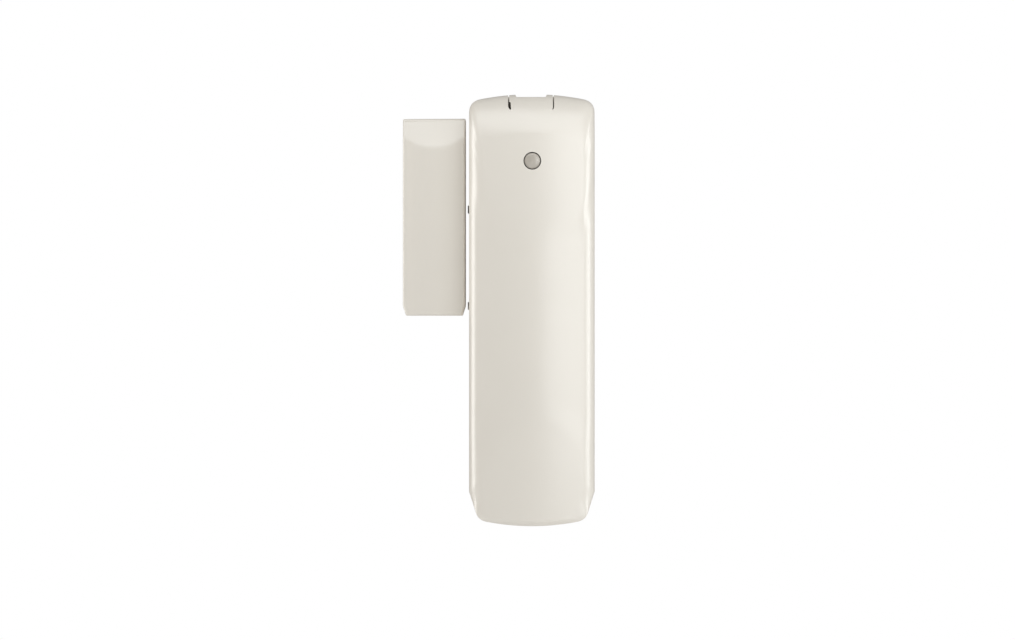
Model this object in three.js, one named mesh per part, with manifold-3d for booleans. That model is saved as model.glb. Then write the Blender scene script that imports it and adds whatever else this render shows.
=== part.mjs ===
import * as THREE from "three";
import { mergeVertices } from "three/addons/utils/BufferGeometryUtils.js";
import Module from "manifold-3d";

const wasm = await Module();
wasm.setup();

// Wireless door contact: a long sensor body and a short magnet unit beside it, both fixed by
// their flat backs. Millimetres. The wall is the plane y = 0 and the front faces -Y, so every
// "depth" below is the distance in front of the wall. X runs across, Z runs up the long side.

const gap = 0.3; // clearance left between neighbouring pieces
const reach = 3; // how far a cutting tool runs past the material it cuts

const sensor = { half: 16, low: -55, high: 55, depth: 26 };
const tray = { rim: 7, back: 2, wall: 2.9, lipInset: 1.9, lipTop: 8.6 };
const cover = { rim: tray.rim + gap, wall: 1.6, front: 1.8, faceHalf: 13, faceTop: 10.2, faceLow: 1.3 };
const shoulder = { side: 19.5, top: 17, bottom: 23.5, turn: 1.2, steps: 6 };
const crown = { across: 1.8, along: 0.5 };
const lamp = { x: 0.1, z: 37.8, hole: 4.5, lens: 4.0 };
const latch = { centre: -0.2, half: 5.4, slit: 0.5, root: 50.9, rim: 7.6, scoop: 4, scoopDeep: 0.6 };
const latchWindow = { half: 4, back: 3, front: 5.4, notchHalf: 6 };
const hook = { x: 9, width: 3, rise: 4.7, back: 4.5, front: 10.2, thick: 1.15, toe: 0.95 };
const hookSlot = { width: 3.6, back: 3.4, low: 1.6, high: 5.2 };
const slotScrew = { half: 4.5, low: 45, high: 48.6 };
const holeScrew = { x: 8, z: -44, radius: 1.9 };
const leadEntry = { left: -9.5, right: -4.5, low: -45.5, high: -42.5, corner: 1.4 };
const tick = { heights: [25.8, 1], half: 1, back: 1.2, front: 6, proud: 0.4 };
const board = { half: 12.7, low: -48.5, high: 42, back: 6, front: 7.6 };
const seat = board.front + gap; // depth at which board components start
const boardNotch = { x: 3.4, rise: 8.5, chamfer: 1.8, chamferRise: 5.4, corner: 2 };
const postRadius = 1.8;
const boardPosts = [[-10, 38], [10, 38], [-10, -4], [11, 4], [-10, -37], [11, -37]];
const boardScrew = { x: -10, z: 38, head: 2, shank: 1, rise: 1.3, cross: 0.25 };
const cell = { radius: 7.25, length: 50.5, x: 2, depth: 15.85, low: -35.9, button: 2.75, buttonRise: 1.2 };
const holder = { wall: 1.2, belowCell: 3.2, aboveCell: 2.4, front: 15, sideTop: 11.4, endLength: 13 };
const reed = { x: -11.2, depth: 10.2, z: 23.7, radius: 1.1, length: 14, wall: 0.28 };
const tamper = { x: 8, z: 31, size: 6, top: 14.4, bore: 2, pin: 1.6, pinTop: 20.4 };
const learn = { x: 8.6, z: 22.4, size: 4.6, top: 11.4, bore: 1.45, pin: 1.1, pinTop: 12.6 };
const coil = { x: -10.4, depth: 11.2, radius: 2, wire: 0.35, low: -22, turns: 9, pitch: 2.4 };
const terminal = { left: -10.8, pitch: 5.08, low: -47.8, high: -40.2, top: 16.4, bore: 1.9, screw: 1.55 };
const terminalWays = [0, 1].map((way) => terminal.left + terminal.pitch * (way + 0.5));
const magnet = { left: -33, right: -16.9, low: -1.5, high: 48.9, depth: 15 };
const bar = { half: 3.6, back: 2.1, front: 8.1, low: 11, high: 36.4 };
const clip = { half: 6.1, rise: 2, fromEnd: 8, front: 3.4 };
const screwSlot = { half: 1.9, length: 5, lows: [2.4, 40.2] };
const cap = {
  rim: 0.3, wall: 1.6, front: 1.6, slope: 7.6, creaseRise: 2.9, drop: 3, tilt: 0.6, crown: 2.6,
};

// ---------- solids ----------

function manifoldOf(positions, index) {
  const triangles = [];
  for (let i = 0; i < index.length; i += 3) {
    const [a, b, c] = [index[i], index[i + 1], index[i + 2]];
    if (a !== b && b !== c && a !== c) triangles.push(a, b, c);
  }
  return new wasm.Manifold(new wasm.Mesh({
    numProp: 3,
    vertProperties: new Float32Array(positions),
    triVerts: new Uint32Array(triangles),
  }));
}

function solid(geometry) {
  const bare = geometry.index ? geometry.toNonIndexed() : geometry.clone();
  bare.deleteAttribute("normal");
  bare.deleteAttribute("uv");
  const merged = mergeVertices(bare, 1e-4);
  return manifoldOf(merged.attributes.position.array, merged.index.array);
}

function block(x0, x1, depth0, depth1, z0, z1) {
  const geometry = new THREE.BoxGeometry(x1 - x0, depth1 - depth0, z1 - z0);
  geometry.translate((x0 + x1) / 2, -(depth0 + depth1) / 2, (z0 + z1) / 2);
  return solid(geometry);
}

// A cylinder or cone standing off the wall, from one depth to another.
function pin(x, z, radius, depth0, depth1, sides = 24, frontRadius = radius) {
  const geometry = new THREE.CylinderGeometry(radius, frontRadius, depth1 - depth0, sides);
  geometry.translate(x, -(depth0 + depth1) / 2, z);
  return solid(geometry);
}

// A turned piece whose axis runs up Z: profile points are [radius, height].
function turned(profile, x, depth, sides = 24) {
  const points = profile.map(([radius, height]) => new THREE.Vector2(radius, height));
  const geometry = new THREE.LatheGeometry(points, sides);
  geometry.rotateX(Math.PI / 2);
  geometry.translate(x, -depth, 0);
  return solid(geometry);
}

// A flat outline in X and Z, given thickness between two depths.
function plate(shape, depth0, depth1, curveSegments = 8) {
  const geometry = new THREE.ExtrudeGeometry(shape, {
    depth: depth1 - depth0,
    bevelEnabled: false,
    curveSegments,
  });
  geometry.translate(0, 0, depth0);
  geometry.rotateX(Math.PI / 2);
  return solid(geometry);
}

function roundedShape(x0, x1, z0, z1, radius) {
  const shape = new THREE.Shape();
  shape.absarc(x1 - radius, z0 + radius, radius, -Math.PI / 2, 0);
  shape.absarc(x1 - radius, z1 - radius, radius, 0, Math.PI / 2);
  shape.absarc(x0 + radius, z1 - radius, radius, Math.PI / 2, Math.PI);
  shape.absarc(x0 + radius, z0 + radius, radius, Math.PI, 1.5 * Math.PI);
  return shape;
}

function roundedBlock(x0, x1, depth0, depth1, z0, z1, radius = 0.5) {
  return plate(roundedShape(x0, x1, z0, z1, radius), depth0, depth1, 4);
}

// Joins rings of [x, y, z] points, each counter-clockwise about the way they advance.
function loft(rings) {
  const count = rings[0].length;
  const last = (rings.length - 1) * count;
  const index = [];
  for (let r = 0; r + 1 < rings.length; r++) {
    for (let i = 0; i < count; i++) {
      const a = r * count + i;
      const b = r * count + ((i + 1) % count);
      index.push(a, b, b + count, a, b + count, a + count);
    }
  }
  for (let i = 1; i + 1 < count; i++) {
    index.push(0, i + 1, i, last, last + i, last + i + 1);
  }
  return manifoldOf(rings.flat(2), index);
}

// A round wire through [x, depth, z] points, with flat ends.
function wire(path, radius, steps, sides = 8) {
  const points = path.map(([x, depth, z]) => new THREE.Vector3(x, -depth, z));
  const curve = new THREE.CatmullRomCurve3(points, false, "centripetal");
  const frames = curve.computeFrenetFrames(steps);
  const rings = frames.tangents.map((_, i) => {
    const centre = curve.getPointAt(i / steps);
    return Array.from({ length: sides }, (_, k) => {
      const angle = (2 * Math.PI * k) / sides;
      return centre.clone()
        .addScaledVector(frames.normals[i], radius * Math.cos(angle))
        .addScaledVector(frames.binormals[i], radius * Math.sin(angle))
        .toArray();
    });
  });
  return loft(rings);
}

function helix(x, depth, low, turns, pitch, radiusAt, pointsPerTurn = 12) {
  const count = turns * pointsPerTurn;
  return Array.from({ length: count + 1 }, (_, i) => {
    const angle = (2 * Math.PI * i) / pointsPerTurn;
    const radius = radiusAt(i / count);
    const height = low + (pitch * i) / pointsPerTurn;
    return [x + radius * Math.cos(angle), depth + radius * Math.sin(angle), height];
  });
}

// ---------- outlines ----------

function line(from, to, steps) {
  return Array.from({ length: steps }, (_, i) => {
    const t = i / steps;
    return [from[0] + (to[0] - from[0]) * t, from[1] + (to[1] - from[1]) * t];
  });
}

function bend(from, control, to, steps) {
  const curve = new THREE.QuadraticBezierCurve(
    new THREE.Vector2(...from), new THREE.Vector2(...control), new THREE.Vector2(...to));
  return Array.from({ length: steps }, (_, i) => curve.getPoint(i / steps).toArray());
}

// Front outline of the sensor, counter-clockwise from the bottom centre: crowned top and
// bottom, rounded corners, and sides that taper in over the lowest few millimetres.
function sensorOutline({ half, low, high }) {
  const lowEdge = [half - 4.5, low + 1.11];
  const lowCorner = [half - 1.8, low + 3.3];
  const taperTop = [half, low + 8.7];
  const sideTop = [half, high - 4.7];
  const highEdge = [half - 3, high - 1.26];
  const right = [
    ...bend([0, low], [lowEdge[0] / 2, low], lowEdge, 5),
    ...bend(lowEdge, [half - 2.4, low + 1.52], lowCorner, 3),
    ...line(lowCorner, taperTop, 2),
    ...line(taperTop, sideTop, 7),
    ...bend(sideTop, [half, high - 1.84], highEdge, 4),
    ...bend(highEdge, [highEdge[0] / 2, high], [0, high], 6),
    [0, high],
  ];
  const left = right.slice(1, -1).reverse().map(([x, z]) => [-x, z]);
  return [...right, ...left];
}

function insetSensor(inset) {
  return sensorOutline({ half: sensor.half - inset, low: sensor.low + inset, high: sensor.high - inset });
}

function shapeOf(points) {
  return new THREE.Shape(points.map(([x, z]) => new THREE.Vector2(x, z)));
}

function smooth(t) {
  const clamped = Math.min(Math.max(t, 0), 1);
  return clamped * clamped * (3 - 2 * clamped);
}

function faceDepth(x, z) {
  return sensor.depth - crown.across * (x / cover.faceHalf) ** 2 - crown.along * (z / sensor.high) ** 4;
}

function shoulderDepth(z) {
  const towardTop = smooth((z - sensor.high + 12) / 10);
  const towardBottom = smooth((sensor.low + 9 - z) / 7);
  return shoulder.side
    + (shoulder.top - shoulder.side) * towardTop
    + (shoulder.bottom - shoulder.side) * towardBottom;
}

// The cover as a full solid: a straight skirt, a turned shoulder and a crowned face. The same
// function gives the hollow inside when it is moved in by a wall and back by a front thickness.
function coverSolid(inset, back, start) {
  const outer = insetSensor(inset);
  const face = sensorOutline({
    half: cover.faceHalf - inset,
    low: sensor.low + cover.faceLow + inset,
    high: sensor.high - cover.faceTop - inset / 2,
  });
  const rings = [outer.map(([x, z]) => [x, -start, z])];
  for (let k = 0; k <= shoulder.steps; k++) {
    const angle = (shoulder.turn * k) / shoulder.steps;
    const inward = (1 - Math.cos(angle)) / (1 - Math.cos(shoulder.turn));
    const forward = Math.sin(angle) / Math.sin(shoulder.turn);
    rings.push(outer.map(([x, z], i) => {
      const [faceX, faceZ] = face[i];
      const from = shoulderDepth(z) - back / 2;
      const to = faceDepth(faceX, faceZ) - back;
      return [x + (faceX - x) * inward, -(from + (to - from) * forward), z + (faceZ - z) * inward];
    }));
  }
  const spine = { low: sensor.low + cover.faceHalf, high: sensor.high - cover.faceHalf - cover.faceTop };
  for (const share of [0.3, 0.6, 0.92]) {
    rings.push(face.map(([x, z]) => {
      const centreZ = Math.min(Math.max(z, spine.low), spine.high);
      const [px, pz] = [x * (1 - share), z + (centreZ - z) * share];
      return [px, back - faceDepth(px, pz), pz];
    }));
  }
  return loft(rings);
}

function magnetOutline(inset) {
  const [left, right] = [magnet.left + inset, magnet.right - inset];
  const [low, high] = [magnet.low + inset, magnet.high - inset];
  return [
    [left + 0.9, low],
    [right - 0.9, low],
    [right, low + 2.5],
    [right, high - 0.3],
    [right - 0.3, high],
    [left + 0.3, high],
    [left, high - 0.3],
    [left, low + 2.5],
  ];
}

// ---------- fixed shell and its fittings ----------

function rearHousing() {
  const scoop = scoopTool();
  const shell = plate(shapeOf(insetSensor(0)), 0, tray.rim)
    .add(plate(shapeOf(insetSensor(tray.lipInset)), 1, tray.lipTop))
    .subtract(plate(shapeOf(insetSensor(tray.wall)), tray.back, tray.lipTop + reach));
  const topInside = sensor.high - tray.wall;
  const tools = [
    scoop,
    // Room for the latch tongue in the lip, and the window its nose sits under.
    block(-latchWindow.notchHalf, latchWindow.notchHalf, tray.rim, tray.lipTop + reach,
      topInside - 1, sensor.high),
    block(-latchWindow.half, latchWindow.half, latchWindow.back, latchWindow.front,
      topInside - 1, sensor.high + reach),
    // Wall screw holes: a slot at the top, a round one at the bottom.
    roundedBlock(-slotScrew.half, slotScrew.half, -reach, tray.back + reach,
      slotScrew.low, slotScrew.high, (slotScrew.high - slotScrew.low) / 2 - 0.01),
    pin(holeScrew.x, holeScrew.z, holeScrew.radius, -reach, tray.back + reach),
    // Entry for a two-core lead from the back.
    roundedBlock(leadEntry.left, leadEntry.right, -reach, tray.back + reach,
      leadEntry.low, leadEntry.high, leadEntry.corner),
    ...[-1, 1].map((side) => {
      const left = side * hook.x - hookSlot.width / 2;
      return block(left, left + hookSlot.width, hookSlot.back, tray.lipTop + reach,
        sensor.low + hookSlot.low, sensor.low + hookSlot.high);
    }),
  ];
  const ticks = tick.heights.map((z) =>
    block(-sensor.half - tick.proud, 1 - sensor.half, tick.back, tick.front, z - tick.half, z + tick.half));
  const posts = boardPosts.map(([x, z]) => pin(x, z, postRadius, tray.back - 1, board.back - gap, 16));
  const body = [...ticks, ...posts].reduce((whole, piece) => whole.add(piece), shell);
  return tools.reduce((whole, tool) => whole.subtract(tool), body);
}

function circuitBoard() {
  const shape = new THREE.Shape();
  const { x, rise, chamfer, chamferRise, corner } = boardNotch;
  shape.moveTo(-board.half, board.low + chamferRise);
  shape.lineTo(-board.half + chamfer, board.low);
  shape.lineTo(x, board.low);
  shape.lineTo(x, board.low + rise);
  shape.lineTo(board.half, board.low + rise);
  shape.lineTo(board.half, board.high - corner);
  shape.lineTo(board.half - corner, board.high);
  shape.lineTo(-board.half + corner, board.high);
  shape.lineTo(-board.half, board.high - corner);
  return plate(shape, board.back, board.front)
    .subtract(pin(boardScrew.x, boardScrew.z, boardScrew.shank + 0.3, 0, 10, 16));
}

function boardScrewPiece() {
  const { x, z, head, shank, rise, cross } = boardScrew;
  const arm = head * 0.65;
  const crossBack = seat + rise / 2;
  return pin(x, z, head, seat, seat + rise, 20, head * 0.8)
    .add(pin(x, z, shank, board.back, seat + 0.5, 12))
    .subtract(block(x - arm, x + arm, crossBack, seat + reach, z - cross, z + cross))
    .subtract(block(x - cross, x + cross, crossBack, seat + reach, z - arm, z + arm));
}

function batteryCell() {
  const { radius, length, low, button, buttonRise } = cell;
  const high = low + length;
  return turned([
    [0, low],
    [radius - 1.6, low],
    [radius - 0.9, low + 0.3],
    [radius, low + 0.9],
    [radius, high - buttonRise - 1],
    [radius - 0.8, high - buttonRise - 0.3],
    [button + 0.05, high - buttonRise],
    [button, high - 0.15],
    [button - 0.15, high],
    [0, high],
  ], cell.x, cell.depth, 32);
}

function batteryHolder() {
  const side = cell.radius + gap;
  const [left, right] = [cell.x - side - holder.wall, cell.x + side + holder.wall];
  const [low, high] = [cell.low - holder.belowCell, cell.low + cell.length + holder.aboveCell];
  const bed = new THREE.CylinderGeometry(side, side, high - low - 3, 36);
  bed.rotateX(Math.PI / 2);
  bed.translate(cell.x, -cell.depth, (low + high) / 2);
  const { front, sideTop, endLength } = holder;
  return block(left, right, seat, front, low, high)
    .subtract(solid(bed))
    .subtract(block(left - 1, right + 1, sideTop, front + 1, low + endLength, high - endLength));
}

function contactSpring() {
  const top = cell.low - 0.25;
  const widening = (t) => 1.5 + 2.6 * (1 - t);
  const path = helix(cell.x, cell.depth - 1.6, top - 1, 3, 0.28, widening, 10);
  return wire(path, 0.13, 45, 6);
}

function contactPlate() {
  const z = cell.low + cell.length;
  return block(cell.x - 3.2, cell.x + 3.2, 9.5, 14.6, z + 0.3, z + 0.62)
    .add(pin(cell.x, 0, 1.6, -0.4, 0, 16).rotate([-90, 0, 0]).translate([0, -13, z + 0.4]));
}

function reedGlass() {
  const half = reed.length / 2;
  const bore = reed.radius - reed.wall;
  const outer = turned([
    [0, reed.z - half],
    [reed.radius * 0.7, reed.z - half],
    [reed.radius, reed.z - half + 0.8],
    [reed.radius, reed.z + half - 0.8],
    [reed.radius * 0.7, reed.z + half],
    [0, reed.z + half],
  ], reed.x, reed.depth, 20);
  const inner = turned([
    [0, reed.z - half - 1],
    [bore * 0.6, reed.z - half - 1],
    [bore * 0.6, reed.z - half],
    [bore, reed.z - half + 1],
    [bore, reed.z + half - 1],
    [bore * 0.6, reed.z + half],
    [bore * 0.6, reed.z + half + 1],
    [0, reed.z + half + 1],
  ], reed.x, reed.depth, 20);
  return outer.subtract(inner);
}

// A lead enters the glass along its axis and turns down onto the board outside it.
function reedLead(side) {
  const end = reed.z + side * (reed.length / 2);
  const bendAt = end + side * 2.4;
  return wire([
    [reed.x, seat - 0.2, bendAt],
    [reed.x, reed.depth - 0.7, bendAt],
    [reed.x, reed.depth, bendAt - side * 0.7],
    [reed.x, reed.depth, end - side * 1.4],
  ], 0.2, 14, 8).add(pin(reed.x, bendAt, 0.7, seat - 0.25, seat + 0.35, 12, 0.35));
}

function fixedBlade() {
  return block(reed.x - 0.35, reed.x + 0.35, reed.depth + 0.26, reed.depth + 0.4,
    reed.z - 1, reed.z + 5.4);
}

// Thin blade that bends toward the fixed one when the magnet stands beside it.
function reedBlade() {
  return block(reed.x - 0.35, reed.x + 0.35, reed.depth - 0.12, reed.depth + 0.02,
    reed.z - 5.2, reed.z + 1);
}

function chip(x0, x1, z0, z1, height, legs) {
  const body = roundedBlock(x0, x1, seat, seat + height, z0, z1, 0.2);
  const pitch = (z1 - z0) / legs;
  return Array.from({ length: legs }, (_, i) => z0 + pitch * (i + 0.5))
    .map((z) => block(x0 - 0.8, x1 + 0.8, seat, seat + 0.3, z - pitch / 5, z + pitch / 5))
    .reduce((whole, leg) => whole.add(leg), body);
}

function switchBody({ x, z, size, top, bore }) {
  const half = size / 2;
  return roundedBlock(x - half, x + half, seat, top, z - half, z + half, 0.4)
    .subtract(pin(x, z, bore, seat + 2, top + 1, 24));
}

function plungerPin({ x, z, pin: radius, pinTop }) {
  return pin(x, z, radius, seat + 2.5, pinTop, 20)
    .subtract(block(x - 3, x + 3, pinTop - 0.25, pinTop + 1, z + radius * 0.7, z + 3))
    .subtract(block(x - 3, x + 3, pinTop - 0.25, pinTop + 1, z - 3, z - radius * 0.7));
}

function terminalBlock() {
  const { left, pitch, low, high, top } = terminal;
  const body = block(left, left + 2 * pitch, seat, top, low, high)
    .subtract(block(left - 1, left + 2 * pitch + 1, top - 2, top + 1, low - 1, low + 1.6));
  return terminalWays.reduce((whole, x) => whole
    .subtract(pin(x, high - 3, terminal.bore, top - 3.4, top + 1, 20))
    .subtract(block(x - 1.6, x + 1.6, seat + 1.4, seat + 4.4, low - 1, low + 4)), body);
}

function terminalScrew(x) {
  const { high, top } = terminal;
  return pin(x, high - 3, terminal.screw, top - 3.1, top - 0.5, 20)
    .subtract(block(x - 2, x + 2, top - 1.2, top + 1, high - 3.25, high - 2.75));
}

function antennaCoil() {
  const path = helix(coil.x, coil.depth, coil.low, coil.turns, coil.pitch, () => coil.radius);
  const foot = [coil.x + coil.radius, seat + 0.35, coil.low - 0.5];
  return wire([foot, ...path.slice(1)], coil.wire, coil.turns * 13, 6);
}

// ---------- swinging cover ----------

function scoopTool() {
  const floor = sensor.high - 0.2 - latch.scoopDeep;
  const shape = new THREE.Shape();
  shape.moveTo(latch.centre - latch.scoop + 0.3, floor);
  shape.lineTo(latch.centre + latch.scoop - 0.3, floor);
  shape.lineTo(latch.centre + latch.scoop + 0.2, sensor.high + 0.4);
  shape.lineTo(latch.centre - latch.scoop - 0.2, sensor.high + 0.4);
  return plate(shape, -1, 19);
}

function coverShell() {
  return coverSolid(0, 0, cover.rim).subtract(coverSolid(cover.wall, cover.front, cover.rim - 1));
}

function frontCover() {
  const slot = latch.half + latch.slit;
  const hooks = [-1, 1].map((side) => {
    const [x0, x1] = [side * hook.x - hook.width / 2, side * hook.x + hook.width / 2];
    const legHigh = sensor.low + hook.rise;
    const legLow = legHigh - hook.thick;
    return block(x0, x1, hook.front - 1.2, hook.front, sensor.low + 1, legHigh)
      .add(block(x0, x1, hook.back, hook.front, legLow, legHigh))
      .add(block(x0, x1, hook.back, hook.back + 1.1, legLow - hook.toe, legHigh));
  });
  const post = pin(tamper.x, tamper.z, 1.5, tamper.pinTop + gap, sensor.depth - cover.front, 16);
  const stop = roundedBlock(cell.x - 4, cell.x + 4, 23.5, sensor.depth - 1.2, -26, -24.8, 0.3);
  return [...hooks, post, stop].reduce((whole, piece) => whole.add(piece), coverShell())
    .subtract(block(latch.centre - slot, latch.centre + slot, 0, 40, latch.root - gap, 60))
    .subtract(pin(lamp.x, lamp.z, lamp.hole / 2, 20, 30, 32))
    .subtract(scoopTool());
}

function latchTongue() {
  const [x0, x1] = [latch.centre - latch.half, latch.centre + latch.half];
  const strip = coverShell().intersect(block(x0, x1, latch.rim, 40, latch.root, 60));
  const inside = sensor.high - cover.wall;
  const arm = block(x0 + 1.5, x1 - 1.5, 9, 10.4, 50.3, inside + 0.8)
    .add(block(x0 + 1.5, x1 - 1.5, 3.2, 10.4, 50.3, 51.4));
  const noseShape = [[3.2, 51.2], [4.2, 51.8], [5.2, 51.8], [5.2, 51.2]];
  const nose = loft([x0 + 2.1, x1 - 2.1].map((x) => noseShape.map(([depth, z]) => [x, -depth, z])));
  return strip.add(arm).add(nose).subtract(scoopTool());
}

function lightPipe() {
  const back = sensor.depth - cover.front - gap;
  return pin(lamp.x, lamp.z, 1.5, 10.8, back - 0.5, 24)
    .add(pin(lamp.x, lamp.z, 3.2, back - 1.2, back, 28))
    .add(pin(lamp.x, lamp.z, lamp.lens / 2, back - 0.6, sensor.depth - 0.35, 32))
    .add(pin(lamp.x, lamp.z, lamp.lens / 2, sensor.depth - 0.36, sensor.depth - 0.12, 32, 1.4));
}

// ---------- magnet unit ----------

function magnetBase() {
  const inset = cap.wall + gap;
  const middle = (magnet.left + magnet.right) / 2;
  const clips = [magnet.low + clip.fromEnd, magnet.high - clip.fromEnd].map((z) =>
    block(middle - clip.half, middle + clip.half, 0, clip.front, z - clip.rise, z + clip.rise));
  const walls = [-5, 4].map((x) => block(middle + x, middle + x + 1, 1, 5.5, bar.low - 1.4, bar.high + 1.4));
  const body = [...clips, ...walls].reduce(
    (whole, piece) => whole.add(piece), plate(shapeOf(magnetOutline(inset)), 0, 1.8));
  return screwSlot.lows
    .map((low) => roundedBlock(middle - screwSlot.half, middle + screwSlot.half, -reach, reach,
      low, low + screwSlot.length, screwSlot.half - 0.05))
    .reduce((whole, slot) => whole.subtract(slot), body);
}

// The face falls away toward the outer side and has a sloping facet along its top edge.
function magnetFaceDepth(x, z) {
  const outward = (magnet.right - x) / (magnet.right - magnet.left);
  const across = 1 - 2 * outward;
  const crease = magnet.high - cap.slope + cap.creaseRise * across ** 2;
  const slope = Math.max(0, z - crease) / cap.slope;
  return magnet.depth - cap.tilt * outward - cap.crown * outward ** 2 - cap.drop * slope;
}

function capSolid(inset, back, start) {
  const outline = magnetOutline(inset);
  const dense = outline.flatMap((from, i) => {
    const to = outline[(i + 1) % outline.length];
    return line(from, to, Math.ceil(Math.hypot(to[0] - from[0], to[1] - from[1]) / 2.6));
  });
  const middle = (magnet.left + magnet.right) / 2;
  const spine = { low: magnet.low + 7, high: magnet.high - 9 };
  const toward = (share) => dense.map(([x, z]) => {
    const centreZ = Math.min(Math.max(z, spine.low), spine.high);
    return [x + (middle - x) * share, z + (centreZ - z) * share];
  });
  const edge = 0.9;
  const rings = [dense.map(([x, z]) => [x, -start, z])];
  rings.push(dense.map(([x, z]) => [x, back + edge - magnetFaceDepth(x, z), z]));
  for (const share of [0.1, 0.3, 0.55, 0.75, 0.95]) {
    rings.push(toward(share).map(([x, z]) => [x, back - magnetFaceDepth(x, z), z]));
  }
  return loft(rings);
}

function magnetCover() {
  return capSolid(0, 0, cap.rim).subtract(capSolid(cap.wall, cap.front, cap.rim - 1));
}

function barMagnet() {
  const middle = (magnet.left + magnet.right) / 2;
  return roundedBlock(middle - bar.half, middle + bar.half, bar.back, bar.front, bar.low, bar.high, 0.6);
}

// ---------- assembly ----------

const ivory = { color: 0xe9e3d8, roughness: 0.35 };
const nickel = { color: 0xc9c9c4, roughness: 0.25, metalness: 1 };
const black = { color: 0x26272a, roughness: 0.6 };

const pieces = {
  rear_housing: [rearHousing(), ivory],
  circuit_board: [circuitBoard(), { color: 0x1f6b3a, roughness: 0.45 }],
  board_screw: [boardScrewPiece(), nickel],
  battery_cell: [batteryCell(), { color: 0xb9bcc2, roughness: 0.3 }],
  battery_holder: [batteryHolder(), black],
  contact_spring: [contactSpring(), nickel],
  contact_plate: [contactPlate(), nickel],
  reed_glass: [reedGlass(), { color: 0xcfe3d6, roughness: 0.1 }],
  reed_lead_lower: [reedLead(-1), nickel],
  reed_lead_upper: [reedLead(1), nickel],
  reed_fixed_blade: [fixedBlade(), nickel],
  reed_moving_blade: [reedBlade(), nickel],
  microcontroller: [chip(-5.2, 0.4, 22.6, 28.2, 1.1, 7), black],
  radio_chip: [chip(-6.2, -2.6, 30.4, 33.4, 0.9, 4), black],
  crystal_can: [roundedBlock(-1, 2.6, seat, seat + 1.3, 31, 35, 0.8), nickel],
  smoothing_capacitor: [pin(-9.4, 9, 2, seat, seat + 5.4, 24), black],
  signal_led: [roundedBlock(lamp.x - 1.6, lamp.x + 1.6, seat, seat + 1.8, lamp.z - 0.9, lamp.z + 0.9, 0.3),
    { color: 0xf2efe2, roughness: 0.3 }],
  tamper_switch_body: [switchBody(tamper), black],
  tamper_plunger: [plungerPin(tamper), { color: 0xd8d4c8, roughness: 0.4 }],
  learn_switch_body: [switchBody(learn), nickel],
  learn_button: [plungerPin(learn), black],
  terminal_block: [terminalBlock(), { color: 0x2f6fa8, roughness: 0.5 }],
  terminal_screw_left: [terminalScrew(terminalWays[0]), nickel],
  terminal_screw_right: [terminalScrew(terminalWays[1]), nickel],
  antenna_coil: [antennaCoil(), { color: 0xc07a45, roughness: 0.3, metalness: 1 }],
  front_cover: [frontCover(), ivory],
  latch_tongue: [latchTongue(), ivory],
  light_pipe: [lightPipe(), { color: 0xc4b8a8, roughness: 0.2 }],
  magnet_base: [magnetBase(), ivory],
  bar_magnet: [barMagnet(), { color: 0x55585c, roughness: 0.4, metalness: 0.8 }],
  magnet_cover: [magnetCover(), ivory],
};

function meshOf(name, manifold, look) {
  const { vertProperties, triVerts } = manifold.getMesh();
  const geometry = new THREE.BufferGeometry();
  geometry.setAttribute("position", new THREE.BufferAttribute(vertProperties, 3));
  geometry.setIndex(new THREE.BufferAttribute(triVerts, 1));
  geometry.computeVertexNormals();
  const mesh = new THREE.Mesh(geometry, new THREE.MeshStandardMaterial(look));
  mesh.name = name;
  return mesh;
}

const group = new THREE.Group();
for (const [name, [manifold, look]] of Object.entries(pieces)) {
  group.add(meshOf(name, manifold, look));
}

export default group;
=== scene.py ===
"""Looks of a wireless door contact: sensor body with its hinged cover, and a magnet unit beside it.

Dimensions are in millimetres as (x, depth, z), where depth is the distance in front of the wall.
"""
import math

import bmesh
import bpy
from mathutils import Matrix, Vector


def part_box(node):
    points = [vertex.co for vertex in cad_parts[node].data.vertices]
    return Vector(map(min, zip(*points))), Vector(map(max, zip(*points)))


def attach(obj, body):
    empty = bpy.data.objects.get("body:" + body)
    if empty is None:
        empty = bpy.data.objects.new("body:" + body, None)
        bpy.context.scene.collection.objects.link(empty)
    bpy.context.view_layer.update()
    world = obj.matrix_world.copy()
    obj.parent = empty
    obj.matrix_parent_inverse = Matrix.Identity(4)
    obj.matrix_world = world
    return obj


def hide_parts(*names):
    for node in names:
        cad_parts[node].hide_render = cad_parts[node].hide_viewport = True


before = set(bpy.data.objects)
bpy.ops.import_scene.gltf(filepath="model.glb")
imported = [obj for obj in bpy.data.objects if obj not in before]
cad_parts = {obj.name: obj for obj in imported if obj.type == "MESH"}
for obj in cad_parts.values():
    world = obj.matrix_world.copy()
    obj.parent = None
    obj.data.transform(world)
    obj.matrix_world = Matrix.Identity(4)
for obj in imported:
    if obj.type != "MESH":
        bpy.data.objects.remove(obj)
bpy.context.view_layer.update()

MM = 0.001

# Edges flatter than the first angle are shaded smooth. Those sharper than the second get rounded.
SMOOTH_ANGLE, SHARP_ANGLE = 35, 40


def box_mm(node):
    """Limits of a CAD node as ((x0, x1), (depth0, depth1), (z0, z1))."""
    low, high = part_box(node)
    return (
        (low[0] / MM, high[0] / MM),
        (-high[1] / MM, -low[1] / MM),
        (low[2] / MM, high[2] / MM),
    )


# Limits that come from the CAD
TRAY_LEFT = box_mm("rear_housing")[0][0]
CAP_X, CAP_DEPTH, CAP_Z = box_mm("magnet_cover")
MAGNET_MID = (CAP_X[0] + CAP_X[1]) / 2
MAGNET_HALF = (CAP_X[1] - CAP_X[0]) / 2
BOARD_TOP = box_mm("circuit_board")[1][1]

# Sensor shell: half width, height limits, depth, and depth of the parting line
HALF = 16.0
LOW, HIGH = -55.0, 55.0
DEPTH = 26.0
SPLIT = 7.0

# Gap between shells, thickness of their walls and of the cover's face
GAP = 0.3
WALL = 1.6
FRONT = 1.8

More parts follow.
